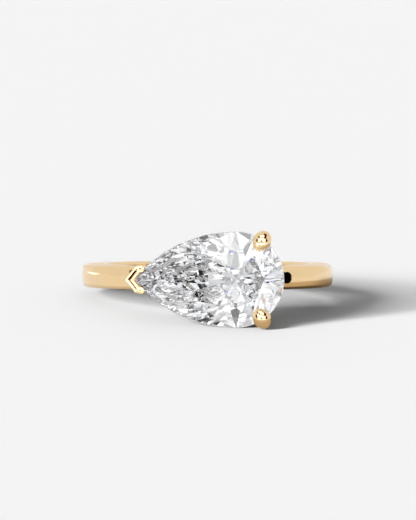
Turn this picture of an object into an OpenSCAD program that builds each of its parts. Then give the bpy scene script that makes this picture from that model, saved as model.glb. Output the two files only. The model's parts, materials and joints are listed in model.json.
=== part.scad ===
// A plain gold band with one pear-cut stone set across it, lying on its side as it rests by itself.
// The finger's axis is Z before the ring is laid down, the head points to -Y and the stone's tip to -X.
// The head is drawn upright, with the stone's table facing +Z, and is then turned onto the band.

/* [Band] */
// Inner diameter of the band, the size of the finger
finger_d = 16.5; // [15.5:0.1:18]
// Thickness of the band between the finger and its outer face
band_t = 1.9; // [1.6:0.05:2.1]
// Width of the band along the finger
band_w = 1.86; // [1.7:0.02:2.4]
// Radius of the band's outer edges
edge_r = 0.36; // [0.24:0.02:0.44]
// Radius of the band's inner edges, eased for the finger
ease_r = 0.25; // [0.15:0.01:0.35]
// Radius of the slight dome of the outer face, across the band
dome_r = 2.6; // [2.3:0.1:4]

/* [Stone] */
// Width of the stone, and diameter of its round end
stone_w = 7.45; // [7:0.05:7.8]
// Length of the stone from its round end to its tip
stone_len = 11.7; // [11.2:0.1:12.2]
// Width of the table as a share of the stone's width
table_share = 0.58; // [0.54:0.01:0.64]
// Length of the table towards the tip, as a share of the stone's own
table_tip_share = 0.66; // [0.6:0.01:0.72]
// Height of the crown from the girdle to the table
crown_h = 1.05; // [0.9:0.05:1.2]
// Thickness of the girdle at the corners of its facets
girdle_t = 0.24; // [0.2:0.01:0.3]
// Depth of the pavilion from the girdle to the culet
pavilion_h = 3.2; // [3:0.05:3.4]
// How far the star facets reach down the crown
star_share = 0.5; // [0.4:0.05:0.6]
// How far the lower half facets reach down the pavilion
lower_share = 0.78; // [0.7:0.02:0.84]

/* [Head] */
// Height of the girdle's middle above the finger's axis
girdle_up = 12.9; // [12.8:0.1:13.4]
// Offset of the stone's middle from the band's, towards the round end
stone_shift = 0.1; // [-0.3:0.1:0.5]
// Clearance between the stone and its seat, at its narrowest
seat_gap = 0.02; // [0.015:0.005:0.04]
// Diameter of a round claw's tip
claw_d = 1.4; // [1.2:0.05:1.6]
// Angle of a round claw from the stone's long axis
claw_turn = 56.5; // [50:0.5:62]
// Height of the middle of a claw's tip above the middle of the girdle
claw_rise = 0.72; // [0.6:0.02:0.8]
// Angle at which a claw's tip slopes down and out from the crown
claw_slope = 12; // [6:1:16]
// Diameter of a claw's foot on the band
foot_d = 0.86; // [0.7:0.02:1]
// Half of the angle between the arms of the V claw
v_half = 51; // [48:1:54]
// Width of the V claw's arms
v_face_w = 0.54; // [0.5:0.02:0.6]
// Length of the outer edge of one arm of the V claw, up to the elbow of its hook
v_arm = 1.2; // [1:0.05:1.3]
// Distance from the stone's tip to the outer corner of the V claw
v_out = 0.66; // [0.5:0.02:0.7]
// Height of the V claw's top above the middle of the girdle
v_rise = 0.62; // [0.5:0.02:0.8]

/* [Opening] */
// Width of the opening that is cut through the band under the stone
opening_w = 0.93; // [0.7:0.01:1]
// Angle around the finger from the head to the opening's end under the round end
opening_right = 38.4; // [36:0.2:40]
// Angle around the finger from the head to the opening's end under the tip
opening_left = 16; // [12:1:20]

/* [Rest] */
// Sideways lean of the ring where it lies, with the side of the stone's tip lower
lean = 2.1; // [0:0.1:4]

/* [Hidden] */
gold = [0.93, 0.77, 0.49];
clear = [0.88, 0.92, 0.96];
$fn = 64;

bore_r = finger_d / 2;
band_r = bore_r + band_t;

// The stone's outline: a round end, and two longer arcs that leave it at its widest and meet at the tip
stone_r = stone_w / 2;
tip_l = stone_len - stone_r;
round_x = stone_shift + stone_len / 2 - stone_r;
tip_x = round_x - tip_l;

// Facets: one mark for each main direction around the outline, from 0 at the round end to 1 at the widest
// place and on along the wing to 2 at the tip, with the other side negative
main_marks = [-2, -1.5, -1, -0.5, 0, 0.5, 1, 1.5, 2];
girdle_steps = 5;

function wing_r(r, l) = (l * l + r * r) / (2 * r);
function tip_angle(r, l) = 180 - asin(1 - r / wing_r(r, l));
// Direction in which the outline faces at a mark
function facing(mark) = sign(mark)
    * (abs(mark) <= 1 ? 90 * abs(mark) : 90 + (abs(mark) - 1) * (tip_angle(stone_r, tip_l) - 90));
function outline(mark) =
    let (a = facing(mark), w = wing_r(stone_r, tip_l))
    abs(mark) <= 1
        ? [stone_r * cos(a), stone_r * sin(a)]
        : [w * cos(a), w * sin(a) - sign(mark) * (w - stone_r)];
function tangent(mark) = [-sin(facing(mark)), cos(facing(mark)), 0];

// A plane is held as a normal and its distance along it
function plane_at(p, u, v) = let (n = cross(u, v) / norm(cross(u, v))) [n, n * p];
function plane_of(p, q, r) = plane_at(p, q - p, r - p);
function plane_z(pl, xy) = (pl[1] - pl[0][0] * xy[0] - pl[0][1] * xy[1]) / pl[0][2];
// The point at a given height where two planes cross
function crossing(a, b, z) =
    let (p = a[1] - a[0][2] * z, q = b[1] - b[0][2] * z, d = a[0][0] * b[0][1] - a[0][1] * b[0][0])
    [(p * b[0][1] - q * a[0][1]) / d, (q * a[0][0] - p * b[0][0]) / d, z];
function lift(xy, z) = [xy[0], xy[1], z];

sectors = len(main_marks) - 1;
girdle_z = girdle_t / 2;
table_z = girdle_z + crown_h;
culet = [0, 0, -girdle_z - pavilion_h];
function main_mark(k) = main_marks[(k + sectors) % sectors];
function next_mark(k) = main_marks[k + 1];
function half_mark(k) = (main_marks[k] + main_marks[k + 1]) / 2;
function table_scale(mark) = table_share + (table_tip_share - table_share) * max(0, abs(mark) - 1);
function table_corner(k) = lift(outline(main_mark(k)) * table_scale(main_mark(k)), table_z);
function bezel(mark, corner) =
    let (edge = lift(outline(mark), girdle_z), along = abs(mark) == 2 ? [0, -1, 0] : tangent(mark))
    plane_at(edge, along, corner - edge);
function lower_main(mark) =
    let (edge = lift(outline(mark), -girdle_z))
    plane_at(edge, tangent(mark), culet - edge);

bezels = [for (k = [0 : sectors - 1]) bezel(main_mark(k), table_corner(k))];
mains = [for (mark = main_marks) lower_main(mark)];
table_ring = [for (k = [0 : sectors - 1]) table_corner(k)];
star_ring = [for (k = [0 : sectors - 1])
    crossing(bezels[k], bezels[(k + 1) % sectors], girdle_z + crown_h * (1 - star_share))];
lower_ring = [for (k = [0 : sectors - 1])
    crossing(mains[k], mains[k + 1], -girdle_z - pavilion_h * lower_share)];

// The girdle follows the half facets, so its edges dip between their corners
function half_plane(apex, z, a, b) = plane_of(apex, lift(outline(a), z), lift(outline(b), z));
function edge_z(apexes, k, z, mark) = mark <= half_mark(k)
    ? plane_z(half_plane(apexes[k], z, main_marks[k], half_mark(k)), outline(mark))
    : plane_z(half_plane(apexes[k], z, half_mark(k), next_mark(k)), outline(mark));
function ring_mark(k, i) = main_marks[k] + (next_mark(k) - main_marks[k]) * i / (2 * girdle_steps);
function girdle_ring(apexes, z) = [for (k = [0 : sectors - 1], i = [0 : 2 * girdle_steps - 1])
    lift(outline(ring_mark(k, i)), edge_z(apexes, k, z, ring_mark(k, i)))];

ring_n = sectors * 2 * girdle_steps;
stone_points = concat(table_ring, star_ring, girdle_ring(star_ring, girdle_z),
    girdle_ring(lower_ring, -girdle_z), lower_ring, [culet]);
star_0 = sectors;
upper_0 = 2 * sectors;
under_0 = upper_0 + ring_n;
lower_0 = under_0 + ring_n;
culet_0 = lower_0 + sectors;
function before(k) = (k + sectors - 1) % sectors;
function after(k) = (k + 1) % sectors;
function edge_run(start, k, half) = [for (i = [0 : girdle_steps])
    start + (k * 2 * girdle_steps + half * girdle_steps + i) % ring_n];
function reversed(list) = [for (i = [len(list) - 1 : -1 : 0]) list[i]];
stone_faces = concat(
    [reversed([for (k = [0 : sectors - 1]) k])],
    [for (k = [0 : sectors - 1]) [k, after(k), star_0 + k]],
    [for (k = [0 : sectors - 1]) [k, star_0 + k, upper_0 + k * 2 * girdle_steps, star_0 + before(k)]],
    [for (k = [0 : sectors - 1], half = [0, 1]) concat([star_0 + k], reversed(edge_run(upper_0, k, half)))],
    [for (i = [0 : ring_n - 1], j = (i + 1) % ring_n) [upper_0 + i, upper_0 + j, under_0 + j, under_0 + i]],
    [for (k = [0 : sectors - 1], half = [0, 1]) concat([lower_0 + k], edge_run(under_0, k, half))],
    [for (k = [1 : sectors - 1]) [culet_0, lower_0 + k - 1, under_0 + k * 2 * girdle_steps, lower_0 + k]],
    [[culet_0, lower_0 + sectors - 1, under_0], [culet_0, under_0, lower_0]]
);

// The stone, its round end about the origin and its girdle level with it
module pear_cut() {
    polyhedron(points = stone_points, faces = stone_faces, convexity = 2);
}

// Space of the seat at the tip: the stone, grown about a point inside it that is at least core_depth
// from every facet
core_share = 0.3;
core_depth = pavilion_h * 0.45;
module tip_seat() {
    core = [0, 0, -girdle_z - pavilion_h * core_share];
    translate(core) scale(1 + seat_gap / core_depth) translate(-core) pear_cut();
}

// Space of the seat at the round end: the facets' outermost corners, turned about the round end's middle
round_k = search(0, main_marks)[0];
module round_seat() {
    slack = 2 * seat_gap;
    rim = stone_r + slack;
    low = lower_ring[round_k];
    star = star_ring[round_k];
    corner = table_ring[round_k];
    function out(p) = norm([p[0], p[1]]) + slack;
    rotate_extrude($fn = 128) polygon([[0, culet[2] - slack], [out(low), low[2]], [rim, -girdle_z],
        [rim, girdle_z], [out(star), star[2]], [out(corner), table_z + slack], [0, table_z + slack]]);
}

// A pear outline with its round end about the origin and its tip at -X
module pear_outline(r, l) {
    w = wing_r(r, l);
    circle(r, $fn = 128);
    intersection() {
        translate([0, w - r]) circle(w, $fn = 256);
        translate([0, r - w]) circle(w, $fn = 256);
        translate([-l - 1, -r]) square([l + 1, 2 * r]);
    }
}

// A domed face towards +X between two rounded edges, with the middle of its dome at the origin. The edges
// stand a hair proud, so that their arcs cross the dome's.
edge_proud = 0.0005;
function edge_mid(dome, edge, edge_y) = sqrt(pow(dome - edge, 2) - edge_y * edge_y) + edge_proud;
module domed_face(dome, edge, edge_y) {
    mid = edge_mid(dome, edge, edge_y);
    for (side = [-1, 1]) translate([mid, side * edge_y]) circle(edge);
    intersection() {
        circle(dome, $fn = 256);
        polygon([[mid, -edge_y], [2 * mid, -2 * edge_y], [2 * mid, 2 * edge_y], [mid, edge_y]]);
    }
}

// Section of the band: inner edges eased, outer face slightly domed between rounded edges
module band_section() {
    half = band_w / 2;
    dome_x = band_r - dome_r;
    edge_y = half - edge_r;
    edge_x = dome_x + edge_mid(dome_r, edge_r, edge_y);
    translate([dome_x, 0]) domed_face(dome_r, edge_r, edge_y);
    for (side = [-1, 1]) translate([bore_r + ease_r, side * (half - ease_r)]) circle(ease_r);
    translate([bore_r + ease_r, -half]) square([edge_x - bore_r - ease_r, band_w]);
    translate([bore_r, ease_r - half]) square([band_t / 2, band_w - 2 * ease_r]);
}

// The opening runs around the finger between two round ends that are drilled towards its axis, and the
// slot between them is sawn a little narrower
saw_less = 0.05;
module opening_end(angle) {
    rotate([0, 0, angle - 90]) translate([bore_r - 1, 0, 0]) rotate([0, 90, 0])
        cylinder(r = opening_w / 2, h = band_t + 2);
}
module opening() {
    sawn_w = opening_w - saw_less;
    rotate([0, 0, -90 - opening_left]) rotate_extrude(angle = opening_left + opening_right, $fn = 128)
        translate([bore_r - 1, -sawn_w / 2]) square([band_t + 2, sawn_w]);
    opening_end(-opening_left);
    opening_end(opening_right);
}
module band() {
    rotate_extrude($fn = 256) band_section();
}

// A smooth round rod along Z through balls, one row each: height and radius
module rod(balls) {
    top = balls[len(balls) - 1];
    low = balls[0][0] - balls[0][1];
    widest = max([for (ball = balls) ball[1]]);
    rotate_extrude() intersection() {
        union() {
            for (ball = balls) translate([0, ball[0]]) circle(ball[1]);
            for (i = [1 : len(balls) - 1]) {
                a = balls[i - 1];
                b = balls[i];
                taper = asin((a[1] - b[1]) / (b[0] - a[0]));
                polygon([[0, a[0]], [a[1] * cos(taper), a[0] + a[1] * sin(taper)],
                    [b[1] * cos(taper), b[0] + b[1] * sin(taper)], [0, b[0]]]);
            }
        }
        translate([0, low - 1]) square([widest + 1, top[0] + top[1] - low + 2]);
    }
}
// A round bar with ball ends, from one point to another
module bar(from, to, r_from, r_to) {
    way = to - from;
    l = norm(way);
    translate(from) rotate([0, acos(way[2] / l), atan2(way[1], way[0])]) rod([[0, r_from], [l, r_to]]);
}

// Round claws: an egg-shaped bead folded over the crown, and a stem that bends in to the band's edge
claw_r = claw_d / 2;
neck_r = claw_r - 0.07;
bend_r = claw_r - 0.03;
// How far the bead's middle is inside the girdle, and the bend outside and below it
bead_in = 0.145;
bend_out = 0.03;
bend_down = 0.1;
// Balls of the bead: distance outwards from its middle, and radius
bead = [[-0.27, claw_r - 0.14], [0, claw_r + 0.02], [0.25, claw_r - 0.1]];
// Middle of a claw's foot: along the stone, beside its long axis, and above the finger's axis
foot = [3.0, 0.5, 9.35];
function around_round_end(r, side, z) = [round_x + r * cos(claw_turn), side * r * sin(claw_turn), z];
function bead_spot(side, out) = around_round_end(stone_r - bead_in + out * cos(claw_slope), side,
    girdle_up + claw_rise - out * sin(claw_slope));
function bend_spot(side) = around_round_end(stone_r + bend_out, side, girdle_up - bend_down);
module claw(side) {
    translate(bead_spot(side, 0)) rotate([0, 90 + claw_slope, side * claw_turn]) rod(bead);
    bar(bead_spot(side, 0), bend_spot(side), neck_r, bend_r);
    bar(bend_spot(side), [foot[0], side * foot[1], foot[2]], bend_r - 0.03, foot_d / 2);
}

// V claw: two arms with domed faces that meet in a corner and hook over the crown, on a leaning stem
v_arm_w = v_face_w / 2;
v_dome_r = 0.65;
v_edge_r = 0.08;
// Way from an arm's elbow to the end of its hook, how far the hook's face is below the arm's, its depth
v_hook = [0.3, 0.08];
v_hook_down = 0.02;
v_hook_h = 0.55;
// How much the round ends stand out sideways from the arms, and in front of them
v_swell = 0.01;
v_proud = 0.006;
// Width of the lap that slopes from the arms onto the crown, and how far below their top it starts
v_lap = 0.24;
v_lap_down = 0.2;
v_wall_h = 0.9;
// The stem has the arms' shape, a little smaller, and leans out from the band
v_stem_w = 0.46;
v_stem_arm = 1.1;
v_stem_h = 4.9;
v_stem_in = 0.04;
v_lean = 17;
v_corner_x = tip_x - v_out;
// One arm of a chevron that points to -X, between two distances in from its outer edge
module half_chevron(near, far, arm) {
    along = arm * [cos(v_half), sin(v_half)];
    across = [sin(v_half), -cos(v_half)];
    polygon([[near / sin(v_half), 0], along + near * across, along + far * across, [far / sin(v_half), 0]]);
}
// Section of an arm, its top at the origin: a domed face between rounded edges
module v_section(half, h) {
    edge_x = half - v_edge_r;
    translate([0, -v_dome_r]) rotate(90) domed_face(v_dome_r, v_edge_r, edge_x);
    translate([-half, -h]) square([2 * half, h - v_dome_r + edge_mid(v_dome_r, v_edge_r, edge_x)]);
}
// An arm's straight stretch, along X from the origin turned by an angle, and a round end like it
module v_stretch(turn, l, half, h) {
    rotate([0, 0, turn]) rotate([90, 0, 90]) linear_extrude(l) v_section(half, h);
}
module v_round(half, h) {
    rotate_extrude() intersection() {
        v_section(half, h);
        translate([0, -h - 1]) square([half + 1, h + 2]);
    }
}
module v_arm_half() {
    inner = v_face_w + v_lap;
    lap_top = v_wall_h - v_lap_down;
    along = [cos(v_half), sin(v_half), 0];
    corner = [v_arm_w / sin(v_half), 0, v_wall_h];
    elbow_l = v_arm - v_arm_w / tan(v_half);
    // The arm starts beyond the corner, so that the two arms meet in a sharp mitre
    intersection() {
        translate(corner - along) v_stretch(v_half, 1 + elbow_l, v_arm_w, v_wall_h);
        translate([-1, 0, -1]) cube([4, 3, 3]);
    }
    translate(corner + along * elbow_l) {
        translate([0, 0, v_proud]) v_round(v_arm_w + v_swell, v_wall_h - v_swell);
        translate([0, 0, -v_hook_down]) {
            v_stretch(atan2(v_hook[1], v_hook[0]), norm(v_hook), v_arm_w - v_swell, v_hook_h);
            translate([v_hook[0], v_hook[1], v_proud]) v_round(v_arm_w, v_hook_h - v_swell);
        }
    }
    // The lap slopes down from the arm onto the crown
    difference() {
        linear_extrude(lap_top) half_chevron(v_arm_w, inner, v_arm);
        rotate([0, 0, v_half]) rotate([90, 0, 90]) translate([0, 0, -1]) linear_extrude(v_arm + 3)
            polygon([[-v_face_w, lap_top], [-inner - 1, lap_top - v_lap - 1], [-inner - 1, lap_top + 1],
                [-v_face_w, lap_top + 1]]);
    }
}
module v_claw() {
    translate([v_corner_x, 0, girdle_up + v_rise - v_wall_h]) {
        v_arm_half();
        mirror([0, 1, 0]) v_arm_half();
    }
    translate([v_corner_x + v_stem_in, 0, girdle_up]) rotate([0, -v_lean, 0]) translate([0, 0, -v_stem_h])
        linear_extrude(v_stem_h) {
            half_chevron(0, v_stem_w, v_stem_arm);
            mirror([0, 1]) half_chevron(0, v_stem_w, v_stem_arm);
        }
}

// Gallery rail: a flat pear-shaped loop below the girdle that ties the three claws together
rail_r = 2.6;
rail_tip = 7.35;
rail_w = 0.55;
rail_h = 0.55;
rail_down = 2.1;
rail_tip_w = 1.6 * rail_w;
module gallery_rail() {
    translate([round_x, 0, girdle_up - rail_down - rail_h / 2]) linear_extrude(rail_h)
        difference() {
            pear_outline(rail_r, rail_tip);
            pear_outline(rail_r - rail_w, rail_tip - rail_tip_w);
        }
}

// Where the ring lies: the pitch at which its head and the back of its band both touch the floor
function turned(p, pitch) =
    let (y = p[1] * cos(pitch) + p[2] * sin(pitch), z = p[2] * cos(pitch) - p[1] * sin(pitch))
    [p[0] * cos(lean) - z * sin(lean), y, z * cos(lean) + p[0] * sin(lean)];
function laid(p) = [p[0], -p[2], p[1]];
// Balls of the head that may touch the floor: the spot in the middle of each and its radius
head_balls = [for (side = [-1, 1]) each concat([[laid(bend_spot(side)), bend_r]],
    [for (ball = bead) [laid(bead_spot(side, ball[0])), ball[1]]])];
girdle_rim = [for (i = [0 : 40]) laid(lift([round_x, 0] + outline(-2 + i / 20), girdle_up))];
function head_low(pitch) = min(concat([for (ball = head_balls) turned(ball[0], pitch)[2] - ball[1]],
    [for (p = girdle_rim) turned(p, pitch)[2]]));
function band_low(pitch) =
    let (up = turned([0, 0, 1], pitch)[2])
    -(band_w / 2 - edge_r) * up - (band_r - edge_r) * sqrt(1 - up * up) - edge_r;
function level(low, high, n = 40) =
    let (mid = (low + high) / 2)
    n == 0 ? mid : head_low(mid) < band_low(mid) ? level(mid, high, n - 1) : level(low, mid, n - 1);
pitch = level(0, 20);
rest_z = -band_low(pitch);
table_front = min([for (p = table_ring) turned(laid([round_x + p[0], p[1], girdle_up + p[2]]), pitch)[1]]);
claw_front = min([for (ball = head_balls) turned(ball[0], pitch)[1] - ball[1]]);
back_tilt = turned([0, 0, 1], pitch)[1];
band_back = (band_w / 2 - edge_r) * abs(back_tilt)
    + (band_r - edge_r) * sqrt(1 - back_tilt * back_tilt) + edge_r;
rest_y = -(min(table_front, claw_front) + band_back) / 2;

module at_rest() {
    translate([0, rest_y, rest_z]) rotate([-pitch, -lean, 0]) children();
}
module on_head() {
    rotate([90, 0, 0]) children();
}

module ring_mounting() {
    color(gold) at_rest() {
        difference() {
            union() {
                band();
                on_head() {
                    gallery_rail();
                    difference() {
                        for (side = [-1, 1]) claw(side);
                        translate([round_x, 0, girdle_up]) round_seat();
                    }
                    difference() {
                        v_claw();
                        translate([round_x, 0, girdle_up]) tip_seat();
                    }
                }
            }
            opening();
        }
    }
}
module pear_stone() {
    color(clear) at_rest() on_head() translate([round_x, 0, girdle_up]) pear_cut();
}

ring_mounting();
pear_stone();
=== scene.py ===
"""Looks for a pear-cut solitaire ring that lies on its side on a pale studio floor."""

import json
import math

import bpy
from mathutils import Matrix, Vector


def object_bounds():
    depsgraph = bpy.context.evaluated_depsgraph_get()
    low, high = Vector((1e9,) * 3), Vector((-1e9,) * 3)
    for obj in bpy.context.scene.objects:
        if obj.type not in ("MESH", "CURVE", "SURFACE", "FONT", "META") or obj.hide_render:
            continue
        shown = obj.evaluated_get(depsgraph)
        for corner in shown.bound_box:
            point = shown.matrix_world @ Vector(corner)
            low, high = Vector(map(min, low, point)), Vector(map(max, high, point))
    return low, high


bl_info = {
    "name": "Pear Solitaire Ring Studio",
    "version": (1, 0, 0),
    "blender": (4, 5, 0),
    "location": "3D View > Sidebar > Ring",
    "description": "Polishes the ring's gold and stone and lays out its studio",
    "category": "Object",
}

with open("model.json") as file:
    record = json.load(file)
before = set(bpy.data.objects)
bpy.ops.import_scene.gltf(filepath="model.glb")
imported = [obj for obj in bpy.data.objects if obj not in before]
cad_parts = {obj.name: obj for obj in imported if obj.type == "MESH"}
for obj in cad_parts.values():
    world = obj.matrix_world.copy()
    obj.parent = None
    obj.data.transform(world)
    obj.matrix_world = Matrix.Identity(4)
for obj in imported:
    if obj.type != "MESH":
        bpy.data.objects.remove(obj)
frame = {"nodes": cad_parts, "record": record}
CAD_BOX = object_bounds()

BORE = frame["record"]["mounts"][0]
FINGER_AXIS = Vector(BORE["axis"]).normalized()
RING_CENTRE = Vector(BORE["pos_m"])

# Gold. The opening in the band, where painted shade darkens the gold: its radii and height in metres,
# and its angles about the finger
OPENING = {
    "out": (0.00830, 0.01007),
    "along": (-0.00048, 0.00048),
    "around": (math.radians(-24.0), math.radians(44.0)),
}
# How softly the painted shade in the opening begins, in the same units
OPENING_EDGES = {"out": 0.00003, "along": 0.00002, "around": 0.01}
# Painted shade: a near-black colour that stands in for the shade inside the opening
OPENING_PAINTED_SHADE = (0.008, 0.004, 0.002)
# Cosine between a face's normal and the finger's axis: where a flat side begins, and where it is full
FLAT_SIDE = (0.985, 0.998)
# Slow clouds in the gold's colour, and the fine lines that polishing drew round the band
CLOUDS = {"scale": 260.0, "detail": 3.0}
POLISH_LINES = {"scale": 9000.0, "detail": 4.0}
# Radius in metres of the circle that the lines are measured along
LINE_RADIUS = 0.009
# The range of both noises that is used, and how far they change the gold's colour and its roughness
GOLD_NOISE = (0.3, 0.7)
CLOUD_TONES = (0.985, 1.012)
POLISH_SWING = (0.75, 1.25)
# Strength of the bump that the lines give
LINE_BUMP = 0.25

# Stone. The girdle's edges in metres in front of the finger's axis, and how softly they begin
GIRDLE = (0.01278, 0.01302)
GIRDLE_EDGE = 0.00002
# The slow drift between the stone's two colours, and the range of its noise that is used
TINT_DRIFT = {"scale": 500.0, "detail": 1.0}
TINT_NOISE = (0.35, 0.65)

# Floor. Half of its width in metres, and how matt it is
FLOOR_HALF = 2.0
FLOOR_ROUGHNESS = 0.9
# Painted shade: close to the ring the gold sees the floor darker and warm, standing in for the ring's
# shadow there. The middle of that place, the distances in metres at which it begins to fade and is
# gone, and its colour
NEAR_FLOOR_MIDDLE = (0.007, 0.002, 0.0)
NEAR_FLOOR_FADE = (0.013, 0.02)
NEAR_FLOOR_PAINTED_SHADE = (0.55, 0.45, 0.33)
# Painted light and shade: seen through the stone the floor is broken into glowing patches on a darker
# colour, standing in for the stone's sparkle. How many a metre, the glow of the brightest one and the
# floor's colour between them
FLOOR_PAINTED_PATCHES = {"scale": 400.0, "glow": 1.2, "colour": (0.4, 0.4, 0.4)}

# Lights. Cards on the floor: place and size in metres, turn in degrees, power for each square metre
REFLECTORS = {
    "front_reflector": ((-0.001, CAD_BOX[0][1] - 0.014), (0.044, 0.011), 0.0, 6.25),
    "side_reflector": ((-0.0868, 0.0474), (0.12, 0.012), 156.0, 5.5),
}
# How far those cards lie above the floor, in metres
REFLECTOR_LIFT = 0.0001
# Suns: azimuth, elevation and spread in degrees, power
SUNS = {
    "key": (321.0, 19.0, 18.0, 4.91),
    "low_key": (316.0, 10.0, 10.0, 5.01),
}
# What the floor is lit by, and what the camera sees behind it
SKY = (0.22, 0.22, 0.22)
BACKDROP = (0.917, 0.917, 0.917)

# The rooms that gold and stone reflect, with their cards, the last one in front of the others.
# Each card has its azimuth, elevation, width, height and roll in degrees, and its colour
GOLD_ROOM = (0.86, 0.86, 0.86)
GOLD_CARDS = (
    (8.0, 68.0, 86.0, 50.0, 0.0, (0.06, 0.005, 0.003)),
    (-1.0, 24.0, 148.0, 66.0, 0.0, (0.06, 0.005, 0.003)),
    (-3.0, 71.0, 46.0, 30.0, 0.0, (2.4, 2.4, 2.4)),
    (-4.0, 23.5, 96.0, 46.0, 0.0, (2.4, 2.4, 2.4)),
    (-1.0, 6.5, 44.0, 14.0, -39.0, (0.06, 0.015, 0.002)),
)
STONE_ROOM = (1.25, 1.26, 1.28)
STONE_CARDS = (
    (3.0, 40.0, 136.0, 92.0, 0.0, (0.63, 0.63, 0.64)),
    (-3.0, 68.0, 54.0, 34.0, 0.0, (1.15, 1.15, 1.15)),
    (-1.0, 22.0, 118.0, 34.0, 0.0, (1.52, 1.52, 1.52)),
    (0.0, 5.0, 16.0, 10.0, 0.0, (0.3, 0.3, 0.3)),
)
# How much of a card's half width its soft edge takes, inwards and outwards
CARD_EDGE = 0.06
# The stone's room is broken into patches: how fine they are, the darkest one's share of the tone,
# the share of them that is tinted and the two tints
STONE_PATCHES = {
    "scale": 13.0,
    "darkest": 0.4,
    "flash_share": 0.025,
    "flashes": ((0.5, 0.68, 1.4), (1.4, 1.0, 0.8)),
}

# Camera. Sensor width in millimetres, and the picture's size, focal length and band's middle in pixels
SENSOR = 36.0
PICTURE = (416, 520)
FOCAL_PIXELS = 3706.0
RING_PIXEL = (207.45, 274.9)
# The nearest and farthest that it sees, in metres
CLIP = (0.01, 10.0)

# How often light may turn at all, and how often it may reflect. What reflects more often inside the
# stone is dropped, which leaves the dark sparkles in its tip
MOST_TURNS = 32
MOST_REFLECTIONS = 12

# Sockets of Blender's Mix node, which has a set for each kind of value
MIX_NUMBERS = (2, 3)
MIX_NUMBER_RESULT = 0
MIX_COLOURS = (6, 7)
MIX_COLOUR_RESULT = 2


def ring_directions():
    """The ring's own directions at rest: to the right, away from the stone, along the finger."""
    away = Vector((0.0, 1.0, 0.0))
    away = (away - FINGER_AXIS * away.dot(FINGER_AXIS)).normalized()
    right = away.cross(FINGER_AXIS).normalized()
    return right, away, FINGER_AXIS


def towards(azimuth, elevation):
    """Direction from the ring: azimuth in degrees from the camera's side round to the right."""
    turn = math.radians(azimuth)
    rise = math.radians(elevation)
    return Vector(
        (math.cos(rise) * math.sin(turn), -math.cos(rise) * math.cos(turn), math.sin(rise))
    )


class GoldFinish(bpy.types.PropertyGroup):
    """How the gold mounting is finished"""

    colour: bpy.props.FloatVectorProperty(
        name="Gold colour",
        description="Reflection colour of the polished alloy",
        default=(0.931, 0.691, 0.391),
        subtype="COLOR",
        min=0.0,
        max=1.0,
    )
    roughness: bpy.props.FloatProperty(
        name="Polish roughness",
        description="Roughness of the well polished faces",
        default=0.06,
        min=0.0,
        max=1.0,
        subtype="FACTOR",
    )
    side_roughness: bpy.props.FloatProperty(
        name="Side roughness",
        description="Roughness of the band's flat sides, which have a softer polish",
        default=0.3,
        min=0.0,
        max=1.0,
        subtype="FACTOR",
    )
    line_stretch: bpy.props.FloatProperty(
        name="Polish line spacing",
        description="How closely the polish lines repeat around the band",
        default=0.06,
        min=0.0,
        max=1.0,
    )
    line_depth: bpy.props.FloatProperty(
        name="Polish line depth",
        description="Depth of the polish lines",
        default=0.0000004,
        min=0.0,
        max=0.00001,
        precision=7,
        unit="LENGTH",
    )


class StoneFinish(bpy.types.PropertyGroup):
    """How the pear-cut stone is finished"""

    colour: bpy.props.FloatVectorProperty(
        name="Stone colour",
        description="Body colour of the clear stone",
        default=(1.0, 1.0, 1.0),
        subtype="COLOR",
        min=0.0,
        max=1.0,
    )
    tint: bpy.props.FloatVectorProperty(
        name="Stone tint",
        description="Second body colour that drifts through the stone",
        default=(0.965, 0.975, 1.0),
        subtype="COLOR",
        min=0.0,
        max=1.0,
    )
    girdle_roughness: bpy.props.FloatProperty(
        name="Girdle roughness",
        description="Roughness of the finely ground girdle",
        default=0.3,
        min=0.0,
        max=1.0,
        subtype="FACTOR",
    )
    index: bpy.props.FloatProperty(
        name="Refractive index",
        description="Refractive index of diamond",
        default=2.417,
        min=1.3,
        max=2.8,
    )


class StudioSetup(bpy.types.PropertyGroup):
    """The floor's colour and where the camera stands"""

    floor_colour: bpy.props.FloatVectorProperty(
        name="Floor colour",
        description="Colour of the plain floor",
        default=(0.9, 0.9, 0.9),
        subtype="COLOR",
        min=0.0,
        max=1.0,
    )
    distance: bpy.props.FloatProperty(
        name="Camera distance",
        description="From the middle of the band to the camera",
        default=0.3,
        min=0.1,
        max=1.0,
        unit="LENGTH",
    )
    rise: bpy.props.FloatProperty(
        name="Camera rise",
        description="How far the camera looks down on the plane of the band",
        default=math.radians(1.6),
        min=0.0,
        max=math.radians(60.0),
        subtype="ANGLE",
    )


def is_socket(value):
    """Whether a value comes out of a node, and isn't a number or colour of its own."""
    return hasattr(value, "is_output")


def opaque(colour):
    """A colour with the fourth number that a socket wants. A node's colour stays as it is."""
    return colour if is_socket(colour) else (*colour, 1.0)


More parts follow.
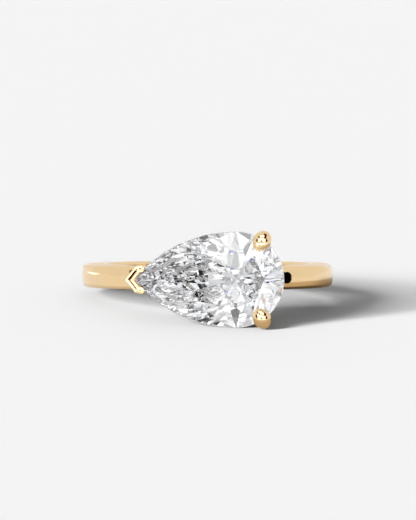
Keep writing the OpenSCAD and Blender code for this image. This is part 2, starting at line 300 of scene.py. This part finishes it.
class NodeMaker:
    """Makes and links the nodes of one tree."""

    def __init__(self, tree):
        self.tree = tree

    def node(self, kind, operation=None):
        made = self.tree.nodes.new(kind)
        if operation is not None:
            made.operation = operation
        return made

    def feed(self, socket, value):
        if is_socket(value):
            self.tree.links.new(value, socket)
        else:
            socket.default_value = value

    def math(self, operation, *values):
        made = self.node("ShaderNodeMath", operation)
        for socket, value in zip(made.inputs, values):
            self.feed(socket, value)
        return made.outputs[0]

    def dot(self, vector, direction):
        made = self.node("ShaderNodeVectorMath", "DOT_PRODUCT")
        self.feed(made.inputs[0], vector)
        made.inputs[1].default_value = direction
        return made.outputs["Value"]

    def offset(self, vector, origin):
        made = self.node("ShaderNodeVectorMath", "SUBTRACT")
        self.feed(made.inputs[0], vector)
        made.inputs[1].default_value = origin
        return made.outputs["Vector"]

    def distance(self, vector, origin):
        made = self.node("ShaderNodeVectorMath", "DISTANCE")
        self.feed(made.inputs[0], vector)
        made.inputs[1].default_value = origin
        return made.outputs["Value"]

    def combine(self, *values):
        made = self.node("ShaderNodeCombineXYZ")
        for socket, value in zip(made.inputs, values):
            self.feed(socket, value)
        return made.outputs["Vector"]

    def remap(self, value, low, high, to_low=0.0, to_high=1.0):
        made = self.node("ShaderNodeMapRange")
        made.interpolation_type = "SMOOTHSTEP"
        self.feed(made.inputs["Value"], value)
        made.inputs["From Min"].default_value = low
        made.inputs["From Max"].default_value = high
        made.inputs["To Min"].default_value = to_low
        made.inputs["To Max"].default_value = to_high
        return made.outputs["Result"]

    def between(self, value, low, high, soft):
        """1 between low and high and 0 outside, over soft edges."""
        over = self.remap(value, low - soft, low + soft)
        under = self.remap(value, high - soft, high + soft, 1.0, 0.0)
        return self.math("MULTIPLY", over, under)

    def noise(self, vector, scale, detail):
        made = self.node("ShaderNodeTexNoise")
        self.feed(made.inputs["Vector"], vector)
        made.inputs["Scale"].default_value = scale
        made.inputs["Detail"].default_value = detail
        return made.outputs["Fac"]

    def patches(self, vector, scale):
        """Three random values that stay the same over each patch of a mosaic."""
        cells = self.node("ShaderNodeTexVoronoi")
        self.feed(cells.inputs["Vector"], vector)
        cells.inputs["Scale"].default_value = scale
        chance = self.node("ShaderNodeSeparateColor")
        self.feed(chance.inputs[0], cells.outputs["Color"])
        return chance.outputs

    def mix(self, factor, under, over):
        """Two colours mixed by a factor."""
        made = self.node("ShaderNodeMix")
        made.data_type = "RGBA"
        made.clamp_factor = True
        self.feed(made.inputs["Factor"], factor)
        for place, colour in zip(MIX_COLOURS, (under, over)):
            self.feed(made.inputs[place], opaque(colour))
        return made.outputs[MIX_COLOUR_RESULT]

    def blend(self, factor, under, over):
        """Two numbers mixed by a factor."""
        made = self.node("ShaderNodeMix")
        made.clamp_factor = True
        self.feed(made.inputs["Factor"], factor)
        for place, value in zip(MIX_NUMBERS, (under, over)):
            self.feed(made.inputs[place], value)
        return made.outputs[MIX_NUMBER_RESULT]


def fresh_material(name):
    """A new node material and its shader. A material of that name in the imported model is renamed."""
    old = bpy.data.materials.get(name)
    if old is not None:
        old.name = name + "_packed"
    material = bpy.data.materials.new(name)
    material.use_nodes = True
    shader = next(node for node in material.node_tree.nodes if node.type == "BSDF_PRINCIPLED")
    return material, shader


def gold_material(finish):
    """Polished gold: faint lines drawn round the band, softer flat sides, and painted shade that
    darkens the opening.
    """
    material, shader = fresh_material("gold")
    maker = NodeMaker(material.node_tree)
    where = maker.offset(maker.node("ShaderNodeTexCoord").outputs["Object"], RING_CENTRE)
    right, away, up = ring_directions()
    across, behind, along = (maker.dot(where, way) for way in (right, away, up))
    around = maker.math("ARCTAN2", across, maker.math("MULTIPLY", behind, -1.0))
    squares = (maker.math("POWER", across, 2.0), maker.math("POWER", behind, 2.0))
    out = maker.math("SQRT", maker.math("ADD", *squares))
    # Mask of the painted shade: the opening's walls, found by their place about the finger
    opening_shade = maker.between(out, *OPENING["out"], OPENING_EDGES["out"])
    for name, value in (("along", along), ("around", around)):
        part = maker.between(value, *OPENING[name], OPENING_EDGES[name])
        opening_shade = maker.math("MULTIPLY", opening_shade, part)
    bent = maker.math("MULTIPLY", around, LINE_RADIUS * finish.line_stretch)
    cloud = maker.noise(where, **CLOUDS)
    drawn = maker.noise(maker.combine(bent, out, along), **POLISH_LINES)
    dull, bright = CLOUD_TONES
    colour = maker.mix(
        maker.remap(cloud, *GOLD_NOISE),
        tuple(tone * dull for tone in finish.colour),
        tuple(min(1.0, tone * bright) for tone in finish.colour),
    )
    # Painted shade: the opening's walls take a near-black colour, and below they are made fully rough
    maker.feed(shader.inputs["Base Color"], maker.mix(opening_shade, colour, OPENING_PAINTED_SHADE))
    shader.inputs["Metallic"].default_value = 1.0
    smoothest, roughest = (finish.roughness * swing for swing in POLISH_SWING)
    polish = maker.remap(drawn, *GOLD_NOISE, smoothest, roughest)
    normal = maker.node("ShaderNodeTexCoord").outputs["Normal"]
    facing = maker.math("ABSOLUTE", maker.dot(normal, up))
    polish = maker.blend(maker.remap(facing, *FLAT_SIDE), polish, finish.side_roughness)
    maker.feed(shader.inputs["Roughness"], maker.blend(opening_shade, polish, 1.0))
    bump = maker.node("ShaderNodeBump")
    bump.inputs["Strength"].default_value = LINE_BUMP
    bump.inputs["Distance"].default_value = finish.line_depth
    maker.feed(bump.inputs["Height"], drawn)
    maker.feed(shader.inputs["Normal"], bump.outputs["Normal"])
    return material


def diamond_material(finish):
    """Clear polished facets with a faint change of tint, round a finely ground girdle."""
    material, shader = fresh_material("diamond")
    maker = NodeMaker(material.node_tree)
    where = maker.offset(maker.node("ShaderNodeTexCoord").outputs["Object"], RING_CENTRE)
    away = ring_directions()[1]
    ahead = maker.math("MULTIPLY", maker.dot(where, away), -1.0)
    girdle = maker.between(ahead, *GIRDLE, GIRDLE_EDGE)
    drift = maker.remap(maker.noise(where, **TINT_DRIFT), *TINT_NOISE)
    colour = maker.mix(drift, finish.colour, finish.tint)
    maker.feed(shader.inputs["Base Color"], colour)
    maker.feed(shader.inputs["Roughness"], maker.math("MULTIPLY", girdle, finish.girdle_roughness))
    shader.inputs["IOR"].default_value = finish.index
    shader.inputs["Transmission Weight"].default_value = 1.0
    return material


def floor_material(colour):
    """The pale floor, with painted shade near the ring that only the gold sees, and painted light and
    shade that only the stone sees.
    """
    material, shader = fresh_material("floor")
    maker = NodeMaker(material.node_tree)
    where = maker.node("ShaderNodeTexCoord").outputs["Object"]
    away = maker.distance(where, NEAR_FLOOR_MIDDLE)
    near = maker.remap(away, *NEAR_FLOOR_FADE, 1.0, 0.0)
    path = maker.node("ShaderNodeLightPath").outputs
    in_stone = path["Is Singular Ray"]
    in_gold = maker.math("SUBTRACT", path["Is Glossy Ray"], in_stone)
    in_gold = maker.math("MULTIPLY", near, in_gold)
    # Painted shade: the gold's reflections see the floor near the ring darker
    shade = maker.mix(in_gold, tuple(colour), NEAR_FLOOR_PAINTED_SHADE)
    # Painted shade: the stone sees the whole floor in a darker colour
    shade = maker.mix(in_stone, shade, FLOOR_PAINTED_PATCHES["colour"])
    maker.feed(shader.inputs["Base Color"], shade)
    shader.inputs["Roughness"].default_value = FLOOR_ROUGHNESS
    # Painted light: glowing patches on the floor, which only the stone sees
    glow = maker.patches(where, FLOOR_PAINTED_PATCHES["scale"])["Red"]
    glow = maker.math("MULTIPLY", glow, FLOOR_PAINTED_PATCHES["glow"])
    shader.inputs["Emission Color"].default_value = (1.0, 1.0, 1.0, 1.0)
    maker.feed(shader.inputs["Emission Strength"], maker.math("MULTIPLY", in_stone, glow))
    return material


def dress(name, material):
    """Give a CAD node its one material."""
    mesh = frame["nodes"][name].data
    mesh.materials.clear()
    mesh.materials.append(material)


class RING_OT_mounting(bpy.types.Operator):
    """Polish the gold mounting"""

    bl_idname = "ring.mounting"
    bl_label = "Mounting"

    def execute(self, context):
        dress("ring_mounting", gold_material(context.scene.ring_gold))
        frame["nodes"]["ring_mounting"].visible_transmission = False
        return {"FINISHED"}


class RING_OT_stone(bpy.types.Operator):
    """Clear the pear-cut stone"""

    bl_idname = "ring.stone"
    bl_label = "Stone"

    def execute(self, context):
        dress("pear_stone", diamond_material(context.scene.ring_stone))
        return {"FINISHED"}


class WorldMaker(NodeMaker):
    """Builds a reflected studio: a pale room with darker and brighter cards in it."""

    def __init__(self, tree):
        super().__init__(tree)
        self.ray = self.node("ShaderNodeTexCoord").outputs["Generated"]

    def edge(self, value, half):
        """1 inside the half width and 0 outside, over a soft edge."""
        size = self.math("ABSOLUTE", value)
        return self.remap(size, half * (1 - CARD_EDGE), half * (1 + CARD_EDGE), 1.0, 0.0)

    def card(self, azimuth, elevation, width, height, roll):
        """Mask of a rectangular card that faces the ring, its sizes in degrees."""
        centre = towards(azimuth, elevation)
        side = centre.cross(Vector((0, 0, 1))).normalized()
        side.rotate(Matrix.Rotation(math.radians(roll), 3, centre))
        top = side.cross(centre)
        ahead = self.dot(self.ray, centre)
        across = self.math("DIVIDE", self.dot(self.ray, side), ahead)
        upward = self.math("DIVIDE", self.dot(self.ray, top), ahead)
        mask = self.math(
            "MULTIPLY",
            self.edge(across, math.tan(math.radians(width / 2))),
            self.edge(upward, math.tan(math.radians(height / 2))),
        )
        return self.math("MULTIPLY", mask, self.math("GREATER_THAN", ahead, 0.0))

    def room(self, tone, cards):
        """A room of one tone with its cards."""
        colour = tone
        for *shape, tint in cards:
            colour = self.mix(self.card(*shape), colour, tint)
        return colour

    def patchwork(self, colour, scale, darkest, flash_share, flashes):
        """The room's colour broken into patches, some darker and a few tinted."""
        chance = self.patches(self.ray, scale)
        shade = self.remap(chance["Red"], 0.0, 1.0, darkest, 1.0)
        tint = self.mix(self.math("GREATER_THAN", chance["Blue"], 0.5), *flashes)
        flash = self.math("GREATER_THAN", chance["Green"], 1.0 - flash_share)
        shaded = self.node("ShaderNodeVectorMath", "SCALE")
        self.feed(shaded.inputs[0], self.mix(flash, colour, tint))
        self.feed(shaded.inputs["Scale"], shade)
        return shaded.outputs["Vector"]

    def plain(self, colour):
        made = self.node("ShaderNodeBackground")
        self.feed(made.inputs["Color"], opaque(colour))
        return made.outputs[0]

    def choose(self, factor, under, over):
        made = self.node("ShaderNodeMixShader")
        for socket, value in zip(made.inputs, (factor, under, over)):
            self.feed(socket, value)
        return made.outputs[0]


def studio_world():
    """A world that lights the floor as a dim sky, and that polished surfaces see as the studio."""
    world = bpy.data.worlds.new("studio")
    world.use_nodes = True
    tree = world.node_tree
    tree.nodes.clear()
    maker = WorldMaker(tree)
    gold_room = maker.plain(maker.room(GOLD_ROOM, GOLD_CARDS))
    stone_room = maker.room(STONE_ROOM, STONE_CARDS)
    stone_room = maker.plain(maker.patchwork(stone_room, **STONE_PATCHES))
    path = maker.node("ShaderNodeLightPath").outputs
    room = maker.choose(path["Is Singular Ray"], gold_room, stone_room)
    polished = maker.math("MAXIMUM", path["Is Glossy Ray"], path["Is Transmission Ray"])
    seen = maker.choose(polished, maker.plain(SKY), room)
    whole = maker.choose(path["Is Camera Ray"], seen, maker.plain(BACKDROP))
    out = maker.node("ShaderNodeOutputWorld")
    maker.feed(out.inputs["Surface"], whole)
    return world


def hang(name, data):
    """Put a light into the scene."""
    light = bpy.data.objects.new(name, data)
    bpy.context.scene.collection.objects.link(light)
    return light


def lay_reflector(name, place, size, turn, power):
    """A bright card lying on the floor, that only polished surfaces see."""
    data = bpy.data.lights.new(name, "AREA")
    data.shape = "RECTANGLE"
    data.size, data.size_y = size
    data.energy = power * size[0] * size[1]
    light = hang(name, data)
    light.location = (*place, REFLECTOR_LIFT)
    light.rotation_euler = (math.pi, 0.0, math.radians(turn))
    light.visible_camera = False
    light.visible_diffuse = False
    light.visible_transmission = False


def soft_sun(name, azimuth, elevation, spread, power):
    """A far soft light that shades the floor and throws the shadows."""
    data = bpy.data.lights.new(name, "SUN")
    data.energy = power
    data.angle = math.radians(spread)
    light = hang(name, data)
    light.rotation_euler = (-towards(azimuth, elevation)).to_track_quat("-Z", "Y").to_euler()
    light.visible_glossy = False
    light.visible_transmission = False


class RING_OT_stage(bpy.types.Operator):
    """Lay the floor, hang the lights and set the camera"""

    bl_idname = "ring.stage"
    bl_label = "Studio"

    def execute(self, context):
        scene = context.scene
        studio = scene.ring_studio
        self.lay_floor(scene, studio)
        self.hang_lights(scene)
        self.set_camera(scene, studio)
        scene.view_settings.view_transform = "Standard"
        scene.cycles.max_bounces = MOST_TURNS
        scene.cycles.transmission_bounces = MOST_TURNS
        scene.cycles.glossy_bounces = MOST_REFLECTIONS
        scene.cycles.caustics_reflective = False
        scene.cycles.caustics_refractive = False
        return {"FINISHED"}

    def lay_floor(self, scene, studio):
        mesh = bpy.data.meshes.new("floor")
        half = FLOOR_HALF
        corners = [(-half, -half, 0), (half, -half, 0), (half, half, 0), (-half, half, 0)]
        mesh.from_pydata(corners, [], [(0, 1, 2, 3)])
        floor = bpy.data.objects.new("floor", mesh)
        scene.collection.objects.link(floor)
        mesh.materials.append(floor_material(studio.floor_colour))

    def hang_lights(self, scene):
        for name, settings in REFLECTORS.items():
            lay_reflector(name, *settings)
        for name, settings in SUNS.items():
            soft_sun(name, *settings)
        scene.world = studio_world()

    def set_camera(self, scene, studio):
        """Stand the camera in front of the stone and turn it until the ring is at its pixel."""
        width, height = PICTURE
        data = bpy.data.cameras.new("camera")
        data.sensor_width = SENSOR
        data.lens = FOCAL_PIXELS / height * SENSOR
        data.clip_start, data.clip_end = CLIP
        camera = bpy.data.objects.new("camera", data)
        scene.collection.objects.link(camera)
        away, up = ring_directions()[1:]
        back = -away * math.cos(studio.rise) + up * math.sin(studio.rise)
        place = RING_CENTRE + back * studio.distance
        side = up.cross(back).normalized()
        top = back.cross(side).normalized()
        pixel = studio.distance / FOCAL_PIXELS
        aim = RING_CENTRE + side * (width / 2 - RING_PIXEL[0]) * pixel
        aim = aim + top * (RING_PIXEL[1] - height / 2) * pixel
        back = (place - aim).normalized()
        side = top.cross(back).normalized()
        top = back.cross(side).normalized()
        turn = Matrix((side, top, back)).transposed()
        camera.matrix_world = Matrix.Translation(place) @ turn.to_4x4()
        scene.camera = camera


class RING_PT_panel(bpy.types.Panel):
    """The ring's pieces and their settings"""

    bl_idname = "RING_PT_panel"
    bl_label = "Pear Solitaire"
    bl_space_type = "VIEW_3D"
    bl_region_type = "UI"
    bl_category = "Ring"

    def draw(self, context):
        scene = context.scene
        for group, operator in (
            (scene.ring_gold, RING_OT_mounting),
            (scene.ring_stone, RING_OT_stone),
            (scene.ring_studio, RING_OT_stage),
        ):
            box = self.layout.box()
            box.operator(operator.bl_idname)
            for name in group.__annotations__:
                box.prop(group, name)


CLASSES = (
    GoldFinish,
    StoneFinish,
    StudioSetup,
    RING_OT_mounting,
    RING_OT_stone,
    RING_OT_stage,
    RING_PT_panel,
)


def register():
    for cls in CLASSES:
        bpy.utils.register_class(cls)
    scene = bpy.types.Scene
    scene.ring_gold = bpy.props.PointerProperty(type=GoldFinish)
    scene.ring_stone = bpy.props.PointerProperty(type=StoneFinish)
    scene.ring_studio = bpy.props.PointerProperty(type=StudioSetup)


def unregister():
    for name in ("ring_gold", "ring_stone", "ring_studio"):
        delattr(bpy.types.Scene, name)
    for cls in reversed(CLASSES):
        bpy.utils.unregister_class(cls)


def main():
    register()
    bpy.ops.ring.mounting()
    bpy.ops.ring.stone()
    bpy.ops.ring.stage()


if __name__ == "__main__":
    main()
